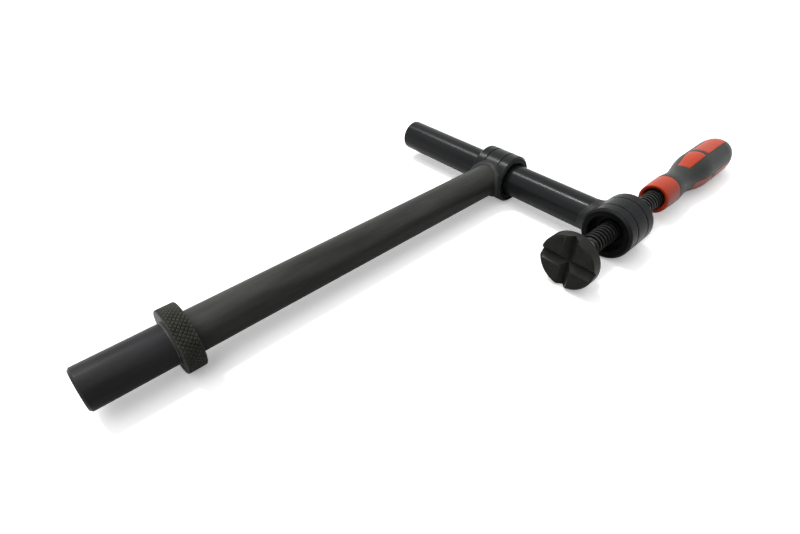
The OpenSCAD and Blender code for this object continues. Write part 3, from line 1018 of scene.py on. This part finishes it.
class CLAMP_OT_stage(Operator):
    """Make the pale floor, the lamps and the camera"""

    bl_idname = "clamp.stage"
    bl_label = "Stage"

    def seen(self, tree):
        """One for every ray that shows the background, nought for the rays that light the clamp."""
        path = add(tree, "ShaderNodeLightPath").outputs
        shown = maths(tree, "MAXIMUM", path["Is Camera Ray"], path["Is Glossy Ray"])
        return maths(tree, "MAXIMUM", shown, path["Is Transmission Ray"])

    def lamp(self, context, name, towards, spread, power):
        """One sun lamp, spread in degrees like a soft box."""
        light = bpy.data.lights.new(name, "SUN")
        light.angle = math.radians(spread)
        light.energy = power
        holder = bpy.data.objects.new(name, light)
        context.scene.collection.objects.link(holder)
        holder.rotation_euler = Vector(towards).to_track_quat("Z", "Y").to_euler()

    def execute(self, context):
        scene, paint = context.scene, context.scene.clamp_finishes
        scene.view_settings.view_transform = "Standard"
        bm = bmesh.new()
        bmesh.ops.create_grid(bm, x_segments=1, y_segments=1, size=FLOOR_HALF)
        mesh = bpy.data.meshes.new("floor")
        bm.to_mesh(mesh)
        bm.free()
        floor = bpy.data.objects.new("floor", mesh)
        scene.collection.objects.link(floor)
        material = bpy.data.materials.new("Pale floor")
        material.use_nodes = True
        tree = material.node_tree
        shader = tree.nodes["Principled BSDF"]
        shader.inputs["Roughness"].default_value = 0.9
        shader.inputs["Specular IOR Level"].default_value = 0.0
        shader.inputs["Emission Color"].default_value = (1, 1, 1, 1)
        unseen, shown = opaque(paint.floor, FLOOR_BOUNCE), opaque(paint.floor)
        shade = blend_colours(tree, self.seen(tree), unseen, shown)
        tree.links.new(shade, shader.inputs["Base Color"])
        camera_ray = add(tree, "ShaderNodeLightPath").outputs["Is Camera Ray"]
        lift = value_range(tree, camera_ray, 0.0, 1.0, to_high=FLOOR_LIFT)
        tree.links.new(lift, shader.inputs["Emission Strength"])
        mesh.materials.append(material)

        world = bpy.data.worlds.new("Studio")
        scene.world = world
        world.use_nodes = True
        tent = world.node_tree
        tent.nodes["Background"].inputs["Color"].default_value = (1, 1, 1, 1)
        towards = add(tent, "ShaderNodeVectorMath", {
            0: add(tent, "ShaderNodeTexCoord").outputs["Generated"], 1: GLOW_TOWARDS
        }, operation="DOT_PRODUCT")
        glow = value_range(tent, towards.outputs["Value"], *GLOW_EDGES, *GLOW_STRENGTHS)
        strength = value_range(tent, self.seen(tent), 0.0, 1.0, to_low=glow)
        tent.links.new(strength, tent.nodes["Background"].inputs["Strength"])
        for settings in LAMPS:
            self.lamp(context, *settings)

        camera = bpy.data.cameras.new("camera")
        camera.sensor_fit = "HORIZONTAL"
        camera.sensor_width, camera.lens = CAMERA_SENSOR, CAMERA_LENS
        camera.clip_start, camera.clip_end = CAMERA_CLIP
        holder = bpy.data.objects.new("camera", camera)
        scene.collection.objects.link(holder)
        yaw, pitch, roll = CAMERA_TURNS
        turn = Matrix.Rotation(-yaw, 4, "Z") @ Matrix.Rotation(math.pi / 2 - pitch, 4, "X")
        spot = Matrix.Translation(CROSSING + CAMERA_FROM_CROSSING)
        holder.matrix_world = spot @ turn @ Matrix.Rotation(-roll, 4, "Z")
        scene.camera = holder
        return {"FINISHED"}


class CLAMP_PT_sidebar(Panel):
    """Lists the clamp's pieces and settings"""

    bl_idname = "CLAMP_PT_sidebar"
    bl_label = "Welding table clamp"
    bl_space_type = "VIEW_3D"
    bl_region_type = "UI"
    bl_category = "Clamp"

    def draw(self, context):
        for operator in OPERATORS:
            self.layout.operator(operator.bl_idname)
        for name, group in SETTINGS.items():
            box = self.layout.box()
            box.label(text=group.__doc__)
            for key in group.__annotations__:
                box.prop(getattr(context.scene, name), key)


SETTINGS = {
    "clamp_bars": BarSizes, "clamp_sleeves": SleeveSizes, "clamp_collar": CollarSizes,
    "clamp_welds": WeldSizes, "clamp_screw": ScrewSizes, "clamp_pad": PadSizes,
    "clamp_handle": HandleSizes, "clamp_finishes": Finishes,
}
OPERATORS = (
    CLAMP_OT_bars, CLAMP_OT_sleeves, CLAMP_OT_collar, CLAMP_OT_welds, CLAMP_OT_screw,
    CLAMP_OT_pad, CLAMP_OT_handle, CLAMP_OT_inner, CLAMP_OT_stage,
)
CLASSES = (*SETTINGS.values(), *OPERATORS, CLAMP_PT_sidebar)


def register():
    for cls in CLASSES:
        bpy.utils.register_class(cls)
    for name, group in SETTINGS.items():
        setattr(bpy.types.Scene, name, PointerProperty(type=group))


def unregister():
    for name in SETTINGS:
        delattr(bpy.types.Scene, name)
    for cls in reversed(CLASSES):
        bpy.utils.unregister_class(cls)


def main():
    register()
    bpy.ops.clamp.bars()
    bpy.ops.clamp.sleeves()
    bpy.ops.clamp.collar()
    bpy.ops.clamp.welds()
    bpy.ops.clamp.screw()
    bpy.ops.clamp.pad()
    bpy.ops.clamp.handle()
    bpy.ops.clamp.inner()
    bpy.ops.clamp.stage()
    bpy.context.view_layer.update()


if __name__ == "__main__":
    main()
